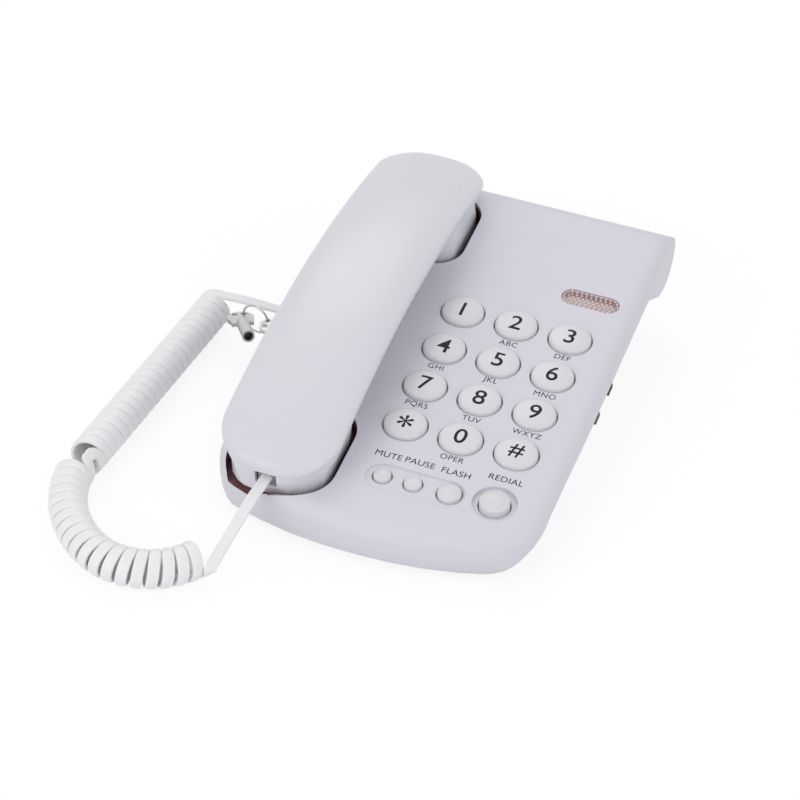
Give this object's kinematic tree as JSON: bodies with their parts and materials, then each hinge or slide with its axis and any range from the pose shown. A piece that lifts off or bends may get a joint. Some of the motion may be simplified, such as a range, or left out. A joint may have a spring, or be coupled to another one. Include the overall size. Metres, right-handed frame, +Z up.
{
  "type": "corded landline phone",
  "caption": "Sloping desk telephone with domed dial keys, a handset lying in two wells, a dial lock with its keys and a curly cord.",
  "frame": {"origin": "centre of the base's footprint, on the desk plane under the feet", "axes": "+X to the keypad side (right), +Y to the rear, +Z up"},
  "size_m": [0.194, 0.2624, 0.0651],
  "materials": {
    "housing": "fine satin moulded shell, pale cool grey-white",
    "keys": "glossy domed caps, warm off-white",
    "window": "smoked ribbed lens",
    "lamp": "clear tinted lamp",
    "board": "lacquered circuit board",
    "mat": "matt silicone",
    "feet": "matt rubber",
    "black_plastic": "moulded black plastic",
    "bright_steel": "plated steel, softly worn",
    "clear_plastic": "clear plug with a milky look",
    "cord_sleeve": "soft flat cord, pale grey-white"
  },
  "bodies": {
    "base": {"top_cover": "housing", "lower_case": "housing", "ringer_window": "window", "ringer_lamp": "lamp", "main_board": "board", "keypad_mat": "mat", "ringer_buzzer": "black_plastic", "hook_switch": "black_plastic", "line_jack": "black_plastic", "cord_jack": "black_plastic", "lock_barrel": "bright_steel", "ringer_switch": "bright_steel", "tone_switch": "bright_steel", "rubber_feet": "feet", "base_screws": "bright_steel", "base_plug": "clear_plastic", "cord_base_tail": "cord_sleeve", "coil_rear": "cord_sleeve", "coil_front": "cord_sleeve", "cord_handset_tail": "cord_sleeve"},
    "handset": {"handset_top": "housing", "handset_bottom": "housing", "receiver_capsule": "black_plastic", "microphone_capsule": "bright_steel", "handset_weight": "bright_steel", "handset_jack": "black_plastic", "handset_screws": "bright_steel", "handset_plug": "clear_plastic"},
    "key_1": {"key_1": "keys"},
    "key_2": {"key_2": "keys"},
    "key_3": {"key_3": "keys"},
    "key_4": {"key_4": "keys"},
    "key_5": {"key_5": "keys"},
    "key_6": {"key_6": "keys"},
    "key_7": {"key_7": "keys"},
    "key_8": {"key_8": "keys"},
    "key_9": {"key_9": "keys"},
    "key_star": {"key_star": "keys"},
    "key_0": {"key_0": "keys"},
    "key_hash": {"key_hash": "keys"},
    "mute_button": {"mute_button": "keys"},
    "pause_button": {"pause_button": "keys"},
    "flash_button": {"flash_button": "keys"},
    "redial_button": {"redial_button": "keys"},
    "hook_plunger": {"hook_plunger": "housing"},
    "ringer_slider": {"ringer_slider": "black_plastic"},
    "tone_slider": {"tone_slider": "black_plastic"},
    "lock_core": {"lock_core": "bright_steel"},
    "lock_key": {"lock_key": "bright_steel"},
    "key_ring": {"key_ring": "bright_steel"},
    "spare_key": {"spare_key": "bright_steel"}
  },
  "joints": [
    {"name": "key_1_press", "type": "slide", "parent": "base", "child": "key_1", "axis": [0, 0.1271, -0.9919], "range_m": [0, 0.0015], "stiffness_N_per_m": 600, "springref_m": -0.0003},
    {"name": "key_2_press", "type": "slide", "parent": "base", "child": "key_2", "axis": [0, 0.1271, -0.9919], "range_m": [0, 0.0015], "stiffness_N_per_m": 600, "springref_m": -0.0003},
    {"name": "key_3_press", "type": "slide", "parent": "base", "child": "key_3", "axis": [0, 0.1271, -0.9919], "range_m": [0, 0.0015], "stiffness_N_per_m": 600, "springref_m": -0.0003},
    {"name": "key_4_press", "type": "slide", "parent": "base", "child": "key_4", "axis": [0, 0.1271, -0.9919], "range_m": [0, 0.0015], "stiffness_N_per_m": 600, "springref_m": -0.0003},
    {"name": "key_5_press", "type": "slide", "parent": "base", "child": "key_5", "axis": [0, 0.1271, -0.9919], "range_m": [0, 0.0015], "stiffness_N_per_m": 600, "springref_m": -0.0003},
    {"name": "key_6_press", "type": "slide", "parent": "base", "child": "key_6", "axis": [0, 0.1271, -0.9919], "range_m": [0, 0.0015], "stiffness_N_per_m": 600, "springref_m": -0.0003},
    {"name": "key_7_press", "type": "slide", "parent": "base", "child": "key_7", "axis": [0, 0.1271, -0.9919], "range_m": [0, 0.0015], "stiffness_N_per_m": 600, "springref_m": -0.0003},
    {"name": "key_8_press", "type": "slide", "parent": "base", "child": "key_8", "axis": [0, 0.1271, -0.9919], "range_m": [0, 0.0015], "stiffness_N_per_m": 600, "springref_m": -0.0003},
    {"name": "key_9_press", "type": "slide", "parent": "base", "child": "key_9", "axis": [0, 0.1271, -0.9919], "range_m": [0, 0.0015], "stiffness_N_per_m": 600, "springref_m": -0.0003},
    {"name": "key_star_press", "type": "slide", "parent": "base", "child": "key_star", "axis": [0, 0.1271, -0.9919], "range_m": [0, 0.0015], "stiffness_N_per_m": 600, "springref_m": -0.0003},
    {"name": "key_0_press", "type": "slide", "parent": "base", "child": "key_0", "axis": [0, 0.1271, -0.9919], "range_m": [0, 0.0015], "stiffness_N_per_m": 600, "springref_m": -0.0003},
    {"name": "key_hash_press", "type": "slide", "parent": "base", "child": "key_hash", "axis": [0, 0.1271, -0.9919], "range_m": [0, 0.0015], "stiffness_N_per_m": 600, "springref_m": -0.0003},
    {"name": "mute_button_press", "type": "slide", "parent": "base", "child": "mute_button", "axis": [0, 0.1271, -0.9919], "range_m": [0, 0.0012], "stiffness_N_per_m": 600, "springref_m": -0.0003},
    {"name": "pause_button_press", "type": "slide", "parent": "base", "child": "pause_button", "axis": [0, 0.1271, -0.9919], "range_m": [0, 0.0012], "stiffness_N_per_m": 600, "springref_m": -0.0003},
    {"name": "flash_button_press", "type": "slide", "parent": "base", "child": "flash_button", "axis": [0, 0.1271, -0.9919], "range_m": [0, 0.0012], "stiffness_N_per_m": 600, "springref_m": -0.0003},
    {"name": "redial_button_press", "type": "slide", "parent": "base", "child": "redial_button", "axis": [0, 0.1271, -0.9919], "range_m": [0, 0.0012], "stiffness_N_per_m": 600, "springref_m": -0.0003},
    {"name": "handset_lift", "type": "slide", "parent": "base", "child": "handset", "axis": [0, 0, 1], "range_m": [0, 0.06], "deforming": ["cord_handset_tail"]},
    {"name": "hook_plunger_rise", "type": "slide", "parent": "base", "child": "hook_plunger", "axis": [0, -0.1271, 0.9919], "range_m": [0, 0.0036]},
    {"name": "ringer_slide", "type": "slide", "parent": "base", "child": "ringer_slider", "axis": [0, 0.9919, 0.1271], "range_m": [-0.0022, 0.0022]},
    {"name": "tone_slide", "type": "slide", "parent": "base", "child": "tone_slider", "axis": [0, 0.9919, 0.1271], "range_m": [-0.0022, 0.0022]},
    {"name": "lock_turn", "type": "hinge", "parent": "base", "child": "lock_core", "pos_m": [-0.06, 0.004, 0.017], "axis": [1, 0, 0], "range_deg": [0, 90]},
    {"name": "lock_key_pull", "type": "slide", "parent": "lock_core", "child": "lock_key", "axis": [-1, 0, 0], "range_m": [0, 0.005]},
    {"name": "key_ring_swing", "type": "hinge", "parent": "lock_key", "child": "key_ring", "pos_m": [-0.0819, 0.006, 0.017], "axis": [0, 0, 1], "range_deg": [-10, 10]},
    {"name": "spare_key_swing", "type": "hinge", "parent": "key_ring", "child": "spare_key", "pos_m": [-0.08805, 0.00758, 0.01585], "axis": [0.2492, 0.9685, 0], "range_deg": [-10, 10]}
  ],
  "couplings": [
    {"joint": "hook_plunger_rise", "follows": "handset_lift", "ratio": 0.06}
  ]
}
